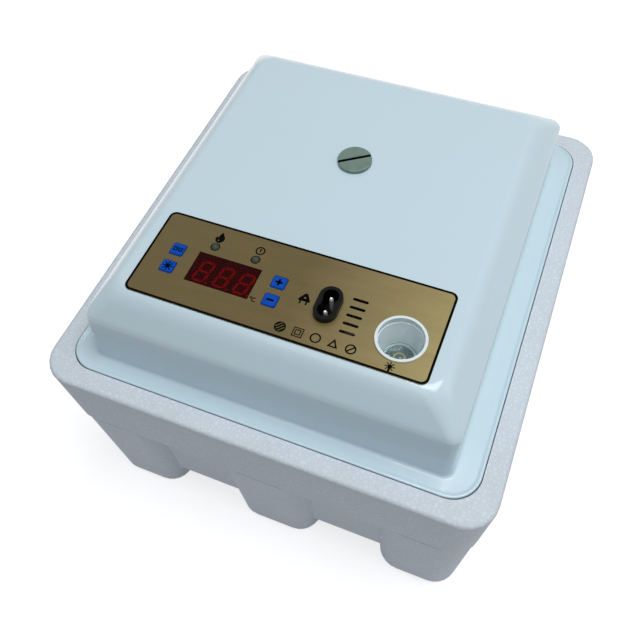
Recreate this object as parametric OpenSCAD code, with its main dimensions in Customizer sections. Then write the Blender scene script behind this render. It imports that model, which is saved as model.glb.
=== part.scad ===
// Egg incubator: a moulded foam base on round pods, and a lift-off lid that holds
// the fan, the heater, the controls and a candling lamp.
// Millimetres. +Z is up, the control panel's side is towards -Y, the pods stand on z = 0.

/* [Foam base] */
// Width of the rim, left to right
rim_w = 270; // [255:1:310]
// Depth of the rim, front to back
rim_d = 295; // [280:1:335]
// Height from the feet to the top of the rim
base_h = 156; // [150:1:180]
// Plan radius of the rim's outer corners
rim_r = 19; // [14:0.5:26]
// Width of the rim's top face
rim_t = 12; // [9:0.5:15]
// Inward slope of the outer walls for each millimetre of height
wall_taper = 0.04; // [0.01:0.005:0.06]
// Drop from the rim to the ledge above the pods
ledge_drop = 56; // [46:1:66]
// Distance that the lower block stands back from the ledge
set_back = 8.5; // [5:0.5:13]
// Height of the lower block's underside
block_z = 18; // [12:1:25]
// Number of pods from left to right
pods_across = 3; // [2:1:4]
// Number of pods from front to back
pods_deep = 3; // [2:1:4]
// Width of a middle pod at the ledge
pod_w = 67; // [58:1:78]
// Width of a corner pod at the ledge
corner_pod_w = 62; // [54:1:72]
// Plan radius of a pod's corners
pod_r = 20; // [15:0.5:26]
// Rounding of a pod's foot
foot_r = 10; // [6:0.5:13]
// Rounding of the foam's moulded edges
foam_edge = 2.5; // [1:0.5:4]

/* [Egg chamber] */
// Depth of the lid's seat below the rim
seat_h = 8; // [6:0.5:11]
// Width of the lid's seat
seat_w = 13; // [10:0.5:16]
// Height of the chamber's floor
floor_z = 42; // [36:1:48]
// Distance that each chamber wall leans in on the way down
chamber_draft = 5; // [2:0.5:8]
// Plan radius of the chamber's corners
chamber_r = 16; // [12:0.5:22]

/* [Water tray] */
// Height of the water tray
tray_h = 13; // [9:0.5:15]
// Wall of the water tray
tray_wall = 1.6; // [1.2:0.1:2.4]
// Number of ribs that fold the water's path
tray_ribs = 5; // [2:1:8]
// Height of the ribs above the tray's floor
rib_h = 7; // [4:0.5:7]
// Width of the passage left at the end of each rib
tray_pass = 24; // [14:1:40]
// Gap between the tray and the rack's skirt
tray_side_gap = 4; // [2:0.5:7]

/* [Egg rack] */
// Height of the egg rack
rack_h = 28; // [26:0.5:34]
// Wall of the rack's skirt
rack_wall = 2; // [1.6:0.1:3]
// Gap between the rack and the chamber's wall
rack_side_gap = 2; // [1:0.5:4]
// Number of egg rows
egg_rows = 4; // [3:1:5]
// Width of the bar between two egg rows
bar_w = 9; // [6:0.5:12]
// Height of the bars
bar_h = 12; // [8:0.5:13]
// Width of each arch in the rack's skirt
arch_w = 30; // [18:1:36]
// Height of each arch in the rack's skirt
arch_h = 10; // [6:0.5:14]
// Number of arches along each long side of the skirt
arch_count = 4; // [2:1:5]
// Lift of the rack before it meets the fan's guard
rack_lift = 54; // [30:1:55]

/* [Lid shell] */
// Gap between the lid's flange and the rim
rim_gap = 0.5; // [0.4:0.1:1.6]
// Width of the flange at the sides
flange_side = 12.5; // [9:0.1:15]
// Width of the flange at the front and the back
flange_front = 10.1; // [8:0.1:13]
// Plan radius of the flange's corners
flange_r = 17; // [13:0.5:20]
// Width of the raised bead along the flange's edge
bead_w = 2.4; // [1.6:0.1:3.4]
// Height of the raised bead
bead_h = 0.8; // [0.4:0.1:1.4]
// Plan radius of the wall's corners at its foot
plinth_r = 6; // [4:0.5:12]
// Plan radius of the crease's corners
crease_r = 8; // [7:0.5:16]
// Height of the wall, from the rim to the crease
wall_h = 31; // [24:0.5:36]
// Lean of the side walls up to the crease
lean_side = 2.7; // [1:0.1:5]
// Lean of the front and back walls up to the crease
lean_front = 4.8; // [2:0.1:7]
// Height from the rim to the flat top
dome_h = 53.3; // [48:0.1:60]
// Run of the sloping face at the sides
slope_side = 15; // [10:0.5:19]
// Run of the sloping face at the front
slope_front = 11; // [7:0.5:13]
// Run of the sloping face at the back
slope_back = 23; // [16:0.5:32]
// Plan radius of the flat top's corners
top_r = 14; // [9:0.5:20]
// Rounding run of the top edge
top_round = 6; // [3:0.5:9]
// Rounding run of the crease
crease_round = 4; // [2:0.5:7]
// Thickness of the formed sheet
sheet_t = 2.2; // [1.6:0.1:3]
// Radius of the bosses that take the lid's screws
boss_r = 4; // [3.2:0.1:5]
// Pilot hole radius for the lid's screws
pilot_r = 1.3; // [0.9:0.1:1.6]

/* [Lid inner parts] */
// Thickness of the inner panel
panel_t = 2.2; // [1.6:0.1:3]
// Thickness of the foam insulation above the panel
insul_t = 12; // [8:0.5:16]
// Radius of the screws' shanks
screw_r = 1.5; // [1.2:0.1:1.8]
// Radius of the screws' heads
screw_head_r = 2.9; // [2.4:0.1:3.4]
// Height of the screws' heads
screw_head_h = 1.8; // [1.2:0.1:2.2]

/* [Control panel] */
// Width of the control panel
face_w = 168; // [160:0.5:170]
// Depth of the control panel
face_d = 57; // [53:0.5:58]
// Distance of the panel behind the flat top's front edge
face_in = 3.6; // [3:0.1:6]
// Thickness of the panel's plate
face_t = 0.5; // [0.3:0.1:1]
// Plan radius of the panel's corners
face_r = 4; // [2:0.5:6]
// Width of the display window
window_w = 37.2; // [36:0.1:39]
// Depth of the display window
window_d = 19.8; // [18:0.1:20]
// Height of the display module
display_h = 8; // [7:0.1:9]
// Width of a button's cap
button_w = 7.8; // [7:0.1:8.4]
// Depth of a button's cap
button_d = 7.6; // [7:0.1:8.4]
// Height of a button above the panel
button_proud = 0.6; // [0.5:0.1:1.4]
// Travel of a button
button_travel = 0.4; // [0.2:0.05:0.5]
// Radius of an indicator lamp
lamp_r = 2.4; // [2:0.1:2.6]
// Height of a tactile switch without its plunger
switch_h = 3.8; // [3.4:0.1:4.2]
// Thickness of the circuit boards
board_t = 1.6; // [1:0.1:2]
// Number of vent slots
slot_count = 5; // [3:1:6]
// Width of a vent slot
slot_w = 8.6; // [6:0.1:10]
// Height of a vent slot
slot_t = 1.7; // [1.2:0.1:2.4]
// Pitch of the vent slots
slot_pitch = 5.15; // [4:0.05:6]

/* [Power inlet] */
// Width of the inlet's shroud
inlet_w = 12.6; // [11:0.1:14]
// Length of the inlet's shroud
inlet_l = 21; // [19:0.1:23]
// Height of the inlet above the panel
inlet_proud = 3.5; // [2:0.1:5]
// Width of the figure-eight socket
socket_w = 8.4; // [7.6:0.1:9]
// Depth of the figure-eight socket
socket_depth = 12; // [10:0.5:14]
// Distance between the two pins
pin_pitch = 8.6; // [7.8:0.1:9]
// Radius of a pin
pin_r = 1.2; // [0.9:0.05:1.3]

/* [Candling lamp] */
// Radius of the cup's lip
cup_r = 13.4; // [13:0.1:14]
// Radius of the egg's seat in the cup
cup_bore_r = 12; // [11:0.1:12.2]
// Depth of the straight part of the cup
cup_bore_h = 4; // [2:0.5:6]
// Depth of the whole cup
cup_depth = 20; // [16:0.5:24]
// Radius of the cup's floor
cup_floor_r = 9; // [8:0.1:10]
// Thickness of the cup's lip
cup_lip_h = 1; // [0.6:0.1:1.6]

/* [Air vent] */
// Distance of the vent behind the lid's centre
vent_back = 22.8; // [21:0.1:23]
// Radius of the vent plug's head
plug_r = 10.2; // [9.6:0.1:12]
// Height of the vent plug's head
plug_h = 2.4; // [2:0.1:3]
// Radius of the vent plug's stem
stem_r = 6.9; // [6:0.1:7.5]
// Length of the vent plug's stem
stem_l = 14; // [10:0.5:18]
// Width of the coin slot
coin_w = 1.9; // [1.4:0.1:2.4]
// Resting angle of the coin slot
coin_angle = 34; // [0:1:90]

/* [Fan] */
// Side of the fan's square frame
fan_w = 60; // [56:0.5:64]
// Height of the fan's frame
fan_h = 20; // [18:0.5:22]
// Radius of the fan's bore
fan_bore_r = 28.5; // [27.5:0.1:29]
// Distance between the fan's screws
fan_pitch = 50; // [48:0.5:51]
// Number of fan blades
blades = 7; // [5:1:9]
// Radius of the rotor's hub
hub_r = 14; // [12:0.1:15]
// Tilt of a blade
blade_tilt = 34; // [20:1:45]
// Thickness of a blade
blade_t = 1.2; // [0.8:0.1:1.6]
// Radius of the rotor's shaft
shaft_r = 1.5; // [1:0.1:2]
// Thickness of the fan's guard
guard_t = 2; // [1.4:0.1:3]
// Number of rings in the fan's guard
guard_rings = 4; // [3:1:5]

/* [Heater] */
// Radius of the heater's ring
heater_r = 50; // [48:0.5:56]
// Radius of the heater's tube
heater_tube_r = 3; // [2:0.1:3.5]
// Angle that the gap in the heater's ring takes
heater_gap = 24; // [16:1:40]
// Height of the heater below the inner panel
heater_drop = 12; // [9:0.5:14]

/* [Hidden] */
$fn = 48;

// Clearances: between pieces of one body, and between pieces that move past each other
seat_gap = 0.1;
run_gap = 0.3;
shaft_gap = 0.08;
eps = 0.5;               // overlap of cutters past a face

corner_steps = 6;        // segments in each corner of a lofted ring
arc_steps = 3;           // segments in each rounded edge of a loft

half_w = rim_w / 2;
half_d = rim_d / 2;
ledge_z = base_h - ledge_drop;
seat_z = base_h - seat_h;

// Chamber, rack and tray: half sizes at the chamber's floor
chamber_x = half_w - rim_t - seat_w;
chamber_y = half_d - rim_t - seat_w;
rack_x = chamber_x - chamber_draft - rack_side_gap;
rack_y = chamber_y - chamber_draft - rack_side_gap;
rack_r = chamber_r - rack_side_gap;
rack_z = floor_z + run_gap;
rack_top = rack_z + rack_h;
tray_x = rack_x - rack_wall - tray_side_gap;
tray_y = rack_y - rack_wall - tray_side_gap;
tray_r = rack_r - rack_wall - 1;
row_pitch = 2 * (rack_x - rack_wall) / egg_rows;
bar_places = [for (i = [1 : egg_rows - 1]) row_pitch * (i - egg_rows / 2)];
band_t = 3;
lug_in = band_t + 4;     // reach and height of the lugs under the bars' ends
lug_t = 2;
lug_z = rack_top - bar_h - seat_gap - lug_t;

// Lid: half sizes of the flange, the wall's foot, the crease and the flat top
flange_x = half_w - rim_t - rim_gap;
flange_y = half_d - rim_t - rim_gap;
plinth_x = flange_x - flange_side;
plinth_y = flange_y - flange_front;
crease_x = plinth_x - lean_side;
crease_y = plinth_y - lean_front;
top_x = crease_x - slope_side;
top_front = crease_y - slope_front;
top_back = crease_y - slope_back;
crease_z = base_h + wall_h;
top_z = base_h + dome_h;
ceiling_z = top_z - sheet_t;
face_z = top_z + face_t;
panel_top = base_h - sheet_t - seat_gap;
panel_z = panel_top - panel_t;
insul_z = panel_top + seat_gap;
insul_top = insul_z + insul_t;

// Lid bosses stand along the walls, at the corners and halfway down each side
boss_x = crease_x - sheet_t - boss_r + 1;
boss_y = crease_y - sheet_t - boss_r + 1;
boss_places = [for (sx = [-1, 1]) for (y = [-boss_y + crease_r / 2, 0, boss_y - crease_r / 2])
               [sx * boss_x, y]];
boss_top = crease_z - 3;

// Places on the control panel, measured from its centre
face_y = -(top_front - face_in - face_d / 2);
window_at = [-37, face_y - 2.6];
set_at = [-67.7, face_y + 4.3];
light_at = [-67.7, face_y - 7.7];
plus_at = [-6.6, face_y + 2.9];
minus_at = [-6.6, face_y - 9];
lamps_at = [[-49.3, face_y + 13], [-24.8, face_y + 12.5]];
inlet_at = [23.1, face_y - 2];
slots_at = [37.7, face_y - 3.4];
cup_at = [64.3, face_y - 7.8];
buttons = [set_at, light_at, plus_at, minus_at];

// Control board, hung under the flat top
display_gap = 0.4;
board_z = ceiling_z - display_gap - display_h - board_t;
board_x0 = -79;
board_x1 = 3;
board_y0 = face_y - 22;
board_y1 = face_y + 20;
board_post_in = 3.6;
board_posts = [for (x = [board_x0 + board_post_in, board_x1 - board_post_in])
               for (y = [board_y0 + board_post_in, board_y1 - board_post_in]) [x, y]];
post_r = 3;
plunger_r = 1.7;
plunger_h = 1.4;
button_flange = 1.1;     // how far a button's skirt reaches past its cap
button_skirt_h = 0.8;
digit_w = 8;             // seven-segment digits of the display
digit_h = 14.2;
digit_pitch = 12.1;
digit_slant = 8;
seg_w = 1.5;
seg_gap = 0.4;
seg_deep = 0.4;
buzzer_r = 6;
buzzer_h = 8;
buzzer_at = [-37, face_y - 17];

// Power board, on posts of the inner panel
power_w = 64;
power_d = 78;
power_edge = 13.3;       // from the crease to the board's side
power_x1 = crease_x - power_edge;
power_x0 = power_x1 - power_w;
power_y0 = -28;
power_y1 = power_y0 + power_d;
power_post_in = 5;
power_posts = [for (x = [power_x0 + power_post_in, power_x1 - power_post_in])
               for (y = [power_y0 + power_post_in, power_y1 - power_post_in]) [x, y]];
power_post_r = 3.5;
power_post_h = 4;        // above the insulation
power_z = insul_top + power_post_h + seat_gap;
power_top = power_z + board_t;
core_w = 34;
core_d = 28;
core_h = 24;
core_at = [power_x0 + 30, power_y0 + 52];
term_at = [power_x0 + 12, power_y0 + 1];      // screw terminals: near corner, width, depth, height
term_w = 22;
term_d = 8;
term_h = 10;
heat_term_at = [power_x0 + 1, power_y0 + 12];
header_at = [power_x0 + 1.5, power_y0 + 29];
header_w = 12;
header_h = 6;
wire_z = power_top + 5;           // height at which leads enter the terminals

// Candling lamp
cup_top = face_z + seat_gap + cup_lip_h;
cup_wall = 0.8;
cup_body_r = cup_bore_r + cup_wall;
cup_floor_t = 1.4;
cup_bottom = cup_top - cup_depth - cup_floor_t;

// Vent
vent_at = [0, vent_back];
tube_wall = 1.8;
tube_r = stem_r + run_gap + tube_wall;
valve_t = 2;             // thickness of the valve's two shutters
plug_z = top_z + run_gap;
stem_z = plug_z - stem_l;

// Fan, hung under the inner panel on the lid's axis
fan_top = panel_z - seat_gap;
fan_z = fan_top - fan_h;
plate_t = 2;             // fan's back plate and struts
hub_gap = 0.6;
rotor_top = fan_top - plate_t - hub_gap;
rotor_h = 10;
rotor_z = rotor_top - rotor_h;
hub_wall = 1.4;
stator_r = hub_r - hub_wall - 1;
blade_r = fan_bore_r - 1;
guard_z = fan_z - seat_gap - guard_t;
fan_holes = [for (sx = [-1, 1]) for (sy = [-1, 1]) [sx, sy] * fan_pitch / 2];

// Heater, a split ring round the fan; its legs rise through the panel
heater_z = panel_z - heater_drop;
heater_mid = 225;        // angle of the gap in the ring
leg_angles = [heater_mid - heater_gap / 2, heater_mid + heater_gap / 2];
leg_r = 0.8 * heater_tube_r;
elbow_r = heater_tube_r + 0.5;
leg_top = insul_top + 3;
clip_angles = [45, 135, 315];
clip_w = 5;
clip_t = 1.6;

// Temperature probe, hung in front of the fan and off to the left
probe_at = [-72, -62];
probe_r = 2.5;
probe_l = 30;
gland_r = 5;

lead_hole_at = [-36, 8];   // where the fan's lead passes through the panel
lead_r = 1.1;
lead_sides = 8;
lead_steps = 4;          // rings between two points of a lead's route

// ---------- shared shapes ----------

// Rectangle with round corners, of true arcs
module round_rect(x, y, r) {
    square([2 * x, 2 * (y - r)], center = true);
    square([2 * (x - r), 2 * y], center = true);
    for (sx = [-1, 1]) for (sy = [-1, 1])
        translate([sx * (x - r), sy * (y - r)]) circle(r);
}

module slab(x, y, r, z0, z1) {
    translate([0, 0, z0]) linear_extrude(z1 - z0) round_rect(x, y, r);
}

// One ring of a loft. s = [half width, front reach, back reach, corner radius, height]
function ring(s) = [
    for (c = [0 : 3]) for (i = [0 : corner_steps])
        let (a = 90 * c + 90 * i / corner_steps,
             cx = (c == 0 || c == 3 ? 1 : -1) * (s[0] - s[3]),
             cy = c < 2 ? s[2] - s[3] : s[3] - s[1])
        [cx + s[3] * cos(a), cy + s[3] * sin(a), s[4]]];

// Solid through a stack of rings, lowest first
module loft(sections) {
    n = 4 * (corner_steps + 1);
    top = n * (len(sections) - 1);
    points = [for (s = sections) each ring(s)];
    sides = [for (k = [0 : len(sections) - 2]) for (i = [0 : n - 1])
             let (j = (i + 1) % n, a = k * n, b = a + n)
             each [[a + i, b + i, b + j], [a + i, b + j, a + j]]];
    polyhedron(points = points, convexity = 6,
               faces = concat([[for (i = [0 : n - 1]) i]], sides,
                              [[for (i = [n - 1 : -1 : 0]) top + i]]));
}

// Section moved in by d on every side, and set to height z
function inset(s, d, z) = [s[0] - d, s[1] - d, s[2] - d, max(s[3] - d, 0.5), z];

// Sections that round an edge of radius e: a foot going out, or a shoulder going in
function foot(s, e) = [for (i = [0 : arc_steps])
    let (a = 90 * i / arc_steps) inset(s, e * (1 - sin(a)), s[4] + e * (1 - cos(a)))];
function shoulder(s, e) = [for (i = [0 : arc_steps])
    let (a = 90 * i / arc_steps) inset(s, e * (1 - cos(a)), s[4] - e * (1 - sin(a)))];

function mix(a, b, t) = a * (1 - t) + b * t;
function bend(a, b, c, t) = mix(mix(a, b, t), mix(b, c, t), t);

module at(p, z = 0) {
    translate([p[0], p[1], z]) children();
}

module tube(r_out, r_in, h) {
    difference() {
        cylinder(r = r_out, h = h);
        translate([0, 0, -eps]) cylinder(r = r_in, h = h + 2 * eps);
    }
}

// Pan-head screw with its head down at z = 0 and its shank going up
module screw(shank_l) {
    cylinder(r = screw_head_r, h = screw_head_h - 0.6);
    translate([0, 0, screw_head_h - 0.6]) cylinder(r = screw_head_r, h = 0.6);
    translate([0, 0, screw_head_h]) cylinder(r = screw_r, h = shank_l);
}

// Screw driven downwards: head on top of z = 0, shank below
module screw_down(shank_l) {
    mirror([0, 0, 1]) translate([0, 0, -screw_head_h]) screw(shank_l);
}

// Point t of a smooth route through the points p
function route_point(p, i, t) =
    let (a = p[max(i - 1, 0)], b = p[i], c = p[i + 1], d = p[min(i + 2, len(p) - 1)])
    0.5 * (2 * b + (c - a) * t + (2 * a - 5 * b + 4 * c - d) * t * t
           + (3 * b - a - 3 * c + d) * t * t * t);
function route(p) = [for (i = [0 : len(p) - 2]) for (k = [0 : lead_steps - 1])
                     route_point(p, i, k / lead_steps), p[len(p) - 1]];
function unit(v) = v / norm(v);

// Insulated lead swept along a route
module lead(p, r = lead_r) {
    line = route(p);
    last = len(line) - 1;
    side_ref = [0.31, 0.42, 0.85];
    points = [for (i = [0 : last])
        let (t = unit(line[min(i + 1, last)] - line[max(i - 1, 0)]),
             u = unit(cross(side_ref, t)), v = cross(t, u))
        for (k = [0 : lead_sides - 1])
            let (a = 360 * k / lead_sides) line[i] + r * (cos(a) * u + sin(a) * v)];
    sides = [for (i = [0 : last - 1]) for (k = [0 : lead_sides - 1])
             let (j = (k + 1) % lead_sides, a = i * lead_sides, b = a + lead_sides)
             each [[a + k, b + k, b + j], [a + k, b + j, a + j]]];
    polyhedron(points = points, convexity = 6,
               faces = concat([[for (k = [0 : lead_sides - 1]) k]], sides,
                              [[for (k = [lead_sides - 1 : -1 : 0]) last * lead_sides + k]]));
}

// ---------- foam base ----------

function wall_at(z) = let (d = wall_taper * (base_h - z))
    [half_w - d, half_d - d, half_d - d, rim_r - d, z];

// Centres and half widths of a row of pods, whose outer ones lie against the walls
function pods(count, half) = let (reach = half - corner_pod_w / 2) [for (i = [0 : count - 1])
    [reach * (2 * i / (count - 1) - 1), (i == 0 || i == count - 1 ? corner_pod_w : pod_w) / 2]];

// Rounded square pod with drafted sides and a rounded foot
module pod(x, y) {
    draft = wall_taper * ledge_z;
    top = [x[1], y[1], y[1], pod_r, ledge_z + 1];
    at([x[0], y[0]]) loft(concat(foot(inset(top, draft, 0), foot_r), [top]));
}

module foam_base() {
    ledge = wall_at(ledge_z);
    block = inset(wall_at(block_z), set_back, block_z);
    color("whitesmoke") difference() {
        union() {
            loft(concat(foot(ledge, foam_edge), shoulder(wall_at(base_h), foam_edge)));
            loft(concat(foot(block, 3 * foam_edge),
                        [inset(ledge, set_back, ledge_z + foam_edge + 1)]));
            for (x = pods(pods_across, ledge[0])) for (y = pods(pods_deep, ledge[1])) pod(x, y);
        }
        slab(half_w - rim_t, half_d - rim_t, rim_r - 2, seat_z, base_h + eps);
        chamber();
    }
}

// Chamber's hollow, with drafted walls and a rounded floor
module chamber() {
    floor_s = [chamber_x - chamber_draft, chamber_y - chamber_draft, chamber_y - chamber_draft,
               chamber_r, floor_z];
    loft(concat(foot(floor_s, rack_side_gap),
                [[chamber_x, chamber_y, chamber_y, chamber_r, seat_z],
                 [chamber_x, chamber_y, chamber_y, chamber_r, seat_z + eps]]));
}

// Shallow tray whose ribs fold the water's path from side to side
module water_tray() {
    z = floor_z + seat_gap;
    in_x = tray_x - tray_wall;
    in_y = tray_y - tray_wall;
    color("lightsteelblue") {
        difference() {
            slab(tray_x, tray_y, tray_r, z, z + tray_h);
            slab(in_x, in_y, tray_r - tray_wall, z + tray_wall, z + tray_h + eps);
        }
        for (i = [1 : tray_ribs]) {
            y = -in_y + 2 * in_y * i / (tray_ribs + 1);
            side = i % 2 == 0 ? 1 : -1;
            translate([side * (tray_pass + eps) / 2, y, z + tray_wall + rib_h / 2 - eps / 2])
                cube([2 * in_x - tray_pass + eps, tray_wall, rib_h + eps], center = true);
        }
    }
}

// ---------- egg rack ----------

// Profile of a bar: flat foot, sides that lean in, round back
module bar_profile() {
    r = bar_w / 3;
    polygon([[-bar_w / 2, 0], [bar_w / 2, 0], [bar_w / 2, bar_h / 3], [r, bar_h - r],
             [-r, bar_h - r], [-bar_w / 2, bar_h / 3]]);
    translate([0, bar_h - r]) circle(r);
}

// Arch-topped cutter that passes along X through the skirt at a side
module arch(reach) {
    r = arch_w / 2;
    rotate([90, 0, 90]) translate([0, 0, -reach]) linear_extrude(2 * reach) {
        translate([-r, -eps]) square([arch_w, max(arch_h - r, 1) + eps]);
        intersection() {
            translate([0, max(arch_h - r, 1)]) circle(r);
            translate([-r, 0]) square([arch_w, arch_h]);
        }
    }
}

module egg_rack() {
    in_x = rack_x - rack_wall;
    in_y = rack_y - rack_wall;
    color("gainsboro") {
        difference() {
            slab(rack_x, rack_y, rack_r, rack_z, rack_top);
            slab(in_x, in_y, rack_r - rack_wall, rack_z - eps, rack_top + eps);
            for (i = [0 : arch_count - 1])
                translate([0, ((i + 0.5) / arch_count - 0.5) * 2 * in_y * 0.9, rack_z])
                    arch(rack_x + eps);
            for (i = [0 : egg_rows - 1])
                translate([((i + 0.5) / egg_rows - 0.5) * 2 * in_x, 0, rack_z])
                    rotate([0, 0, 90]) arch(rack_y + eps);
        }
        // stiffening band round the top, and the lugs that the bars rest on
        difference() {
            slab(in_x + eps, in_y + eps, rack_r - rack_wall, rack_top - band_t, rack_top);
            slab(in_x - band_t, in_y - band_t, rack_r - rack_wall - band_t,
                 rack_top - band_t - eps, rack_top + eps);
        }
        for (x = bar_places) for (sy = [-1, 1])
            translate([x, sy * (in_y + eps - (lug_in + eps) / 2), lug_z + lug_t / 2])
                cube([bar_w, lug_in + eps, lug_t], center = true);
    }
}

// Bars that carry the eggs between the rows, dropped in between the rack's ends
module rack_bars() {
    reach = rack_y - rack_wall - band_t - seat_gap;
    color("gainsboro") for (x = bar_places)
        translate([x, reach, rack_top - bar_h]) rotate([90, 0, 0]) linear_extrude(2 * reach) bar_profile();
}

// ---------- lid shell ----------

foot_s = [plinth_x, plinth_y, plinth_y, plinth_r, base_h];
crease_s = [crease_x, crease_y, crease_y, crease_r, crease_z];
top_s = [top_x, top_front, top_back, top_r, top_z];

// Sections of the dome's outside: leaning wall, rounded crease, slope, rounded top edge
function dome_sections() =
    let (wall_f = crease_round / wall_h,
         slope_l = dome_h - wall_h,
         slope_f = crease_round / slope_l,
         top_f = min(top_round / slope_l, 0.6),
         flat_s = inset(top_s, top_round * 0.8, top_z))
    concat([foot_s],
           [for (i = [0 : arc_steps]) bend(mix(crease_s, foot_s, wall_f), crease_s,
                                          mix(crease_s, top_s, slope_f), i / arc_steps)],
           [for (i = [0 : arc_steps + 1]) bend(mix(top_s, crease_s, top_f), top_s, flat_s,
                                              i / (arc_steps + 1))]);

module dome() {
    loft(concat([[plinth_x, plinth_y, plinth_y, plinth_r, base_h - sheet_t]], dome_sections()));
}

// Room inside the dome: the same sections, one sheet thickness in and down
module dome_room() {
    inner = [for (s = dome_sections()) inset(s, sheet_t, s[4] - sheet_t)];
    low = inner[0];
    loft(concat([[low[0], low[1], low[2], low[3], panel_z]], inner));
}

// Slots that let the warm air of the electronics out
module vent_slots(z0, z1) {
    for (i = [0 : slot_count - 1])
        at([slots_at[0], slots_at[1] + (i - (slot_count - 1) / 2) * slot_pitch], z0)
            linear_extrude(z1 - z0) {
                square([slot_w - slot_t, slot_t], center = true);
                for (sx = [-1, 1]) translate([sx * (slot_w - slot_t) / 2, 0]) circle(slot_t / 2);
            }
}

// What passes through the flat top and the control panel on it
module top_holes(z0, z1) {
    h = z1 - z0;
    vent_slots(z0, z1);
    for (p = buttons)
        at(p, z0) linear_extrude(h) round_rect(button_w / 2 + run_gap, button_d / 2 + run_gap, 1.3);
    for (p = lamps_at) at(p, z0) cylinder(r = lamp_r + seat_gap, h = h);
    at(window_at, z0) translate([0, 0, h / 2])
        cube([window_w + 2 * seat_gap, window_d + 2 * seat_gap, h], center = true);
    at(inlet_at, z0) linear_extrude(h) inlet_outline(seat_gap);
    at(cup_at, z0) cylinder(r = cup_body_r + seat_gap, h = h);
}

module lid_cover() {
    color("aliceblue") difference() {
        union() {
            difference() {
                union() {
                    slab(flange_x, flange_y, flange_r, base_h - sheet_t, base_h);
                    dome();
                    bead_and_skirt();
                }
                dome_room();
            }
            intersection() {
                union() {
                    for (p = boss_places) at(p, panel_top + seat_gap)
                        cylinder(r = boss_r, h = boss_top - panel_top - seat_gap);
                    for (p = board_posts) at(p, board_z + board_t + seat_gap)
                        cylinder(r = post_r, h = ceiling_z - board_z - board_t + seat_gap);
                }
                dome();
            }
        }
        for (p = boss_places) at(p, panel_z) cylinder(r = pilot_r + 0.3, h = panel_t + 14);
        for (p = board_posts) at(p, board_z) cylinder(r = screw_r + seat_gap, h = board_t + 7);
        top_holes(ceiling_z - eps, top_z + eps);
        at(vent_at, ceiling_z - eps) cylinder(r = stem_r + run_gap, h = sheet_t + 2 * eps);
    }
}

// Raised edge of the flange and the skirt that stands in the foam's seat
module bead_and_skirt() {
    difference() {
        slab(flange_x, flange_y, flange_r, seat_z + run_gap, base_h + bead_h);
        slab(flange_x - bead_w, flange_y - bead_w, flange_r - bead_w, seat_z, base_h + bead_h + eps);
    }
}

// ---------- lid inner parts ----------

module inner_panel() {
    x = flange_x - bead_w - seat_gap;
    y = flange_y - bead_w - seat_gap;
    color("white") difference() {
        union() {
            slab(x, y, flange_r - bead_w - seat_gap, panel_z, panel_top);
            for (p = power_posts) at(p, panel_top - eps)
                cylinder(r = power_post_r, h = insul_top + power_post_h - panel_top + eps);
        }
        for (p = concat(boss_places, fan_holes))
            at(p, panel_z - eps) cylinder(r = screw_r + 0.2, h = panel_t + 2 * eps);
        for (p = power_posts) at(p, panel_top + 2) cylinder(r = screw_r + seat_gap, h = 40);
        at(vent_at, panel_z - eps) cylinder(r = tube_r + seat_gap, h = panel_t + 2 * eps);
        at(probe_at, panel_z - eps) cylinder(r = gland_r - 1.5 + seat_gap, h = panel_t + 2 * eps);
        leg_holes(panel_z - eps, panel_top + eps);
        at(lead_hole_at, panel_z - eps) cylinder(r = 2 * lead_r, h = panel_t + 2 * eps);
    }
}

module leg_holes(z0, z1) {
    for (a = leg_angles) rotate([0, 0, a]) translate([heater_r, 0, z0])
        cylinder(r = leg_r + 0.4, h = z1 - z0);
}

module lid_insulation() {
    x = plinth_x - sheet_t - lean_side * insul_t / wall_h - 1;
    y = plinth_y - sheet_t - lean_front * insul_t / wall_h - 1;
    clear = 1;
    color("ivory") difference() {
        slab(x, y, crease_r - sheet_t, insul_z, insul_top);
        for (p = boss_places) at(p, insul_z - eps) cylinder(r = boss_r + clear, h = insul_t + 2 * eps);
        for (p = power_posts) at(p, insul_z - eps)
            cylinder(r = power_post_r + clear / 4, h = insul_t + 2 * eps);
        at(vent_at, insul_z - eps) cylinder(r = tube_r + clear / 4, h = insul_t + 2 * eps);
        at(probe_at, insul_z - eps) cylinder(r = gland_r + clear / 2, h = insul_t + 2 * eps);
        for (p = fan_holes) at(p, insul_z - eps) cylinder(r = screw_head_r + clear, h = 6);
        leg_holes(insul_z - eps, insul_top + eps);
        at(lead_hole_at, insul_z - eps) cylinder(r = 3 * lead_r, h = insul_t + 2 * eps);
    }
}

module cover_screws() {
    color("silver") for (p = boss_places)
        at(p, panel_z - seat_gap - screw_head_h) screw(panel_t + 10);
}

// ---------- control panel ----------

module control_faceplate() {
    color("darkgoldenrod") difference() {
        at([0, face_y], top_z + seat_gap / 2) linear_extrude(face_t)
            round_rect(face_w / 2, face_d / 2, face_r);
        top_holes(top_z - eps, face_z + eps);
    }
}

module display_window() {
    color("darkred") at(window_at, ceiling_z)
        translate([-window_w / 2, -window_d / 2, 0]) cube([window_w, window_d, face_z - ceiling_z]);
}

// Outline of one segment: a bar with pointed ends, on the digit's slant
function segment(c, l, upright) =
    let (w = seg_w / 2, e = l / 2,
         bar = [[-e, 0], [w - e, -w], [e - w, -w], [e, 0], [e - w, w], [w - e, w]])
    [for (p = bar) let (q = c + (upright ? [-p[1], p[0]] : p)) [q[0] + q[1] * tan(digit_slant), q[1]]];

// Seven segments and a decimal point
module digit() {
    col = (digit_w - seg_w) / 2;
    row = (digit_h - seg_w) / 2;
    for (i = [-1 : 1]) polygon(segment([0, i * row], 2 * col - seg_gap, false));
    for (sx = [-1, 1]) for (sy = [-1, 1])
        polygon(segment([sx * col, sy * row / 2], row - seg_gap, true));
    translate([digit_w / 2 + seg_w / 4, -row]) circle(seg_w / 2);
}

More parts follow.
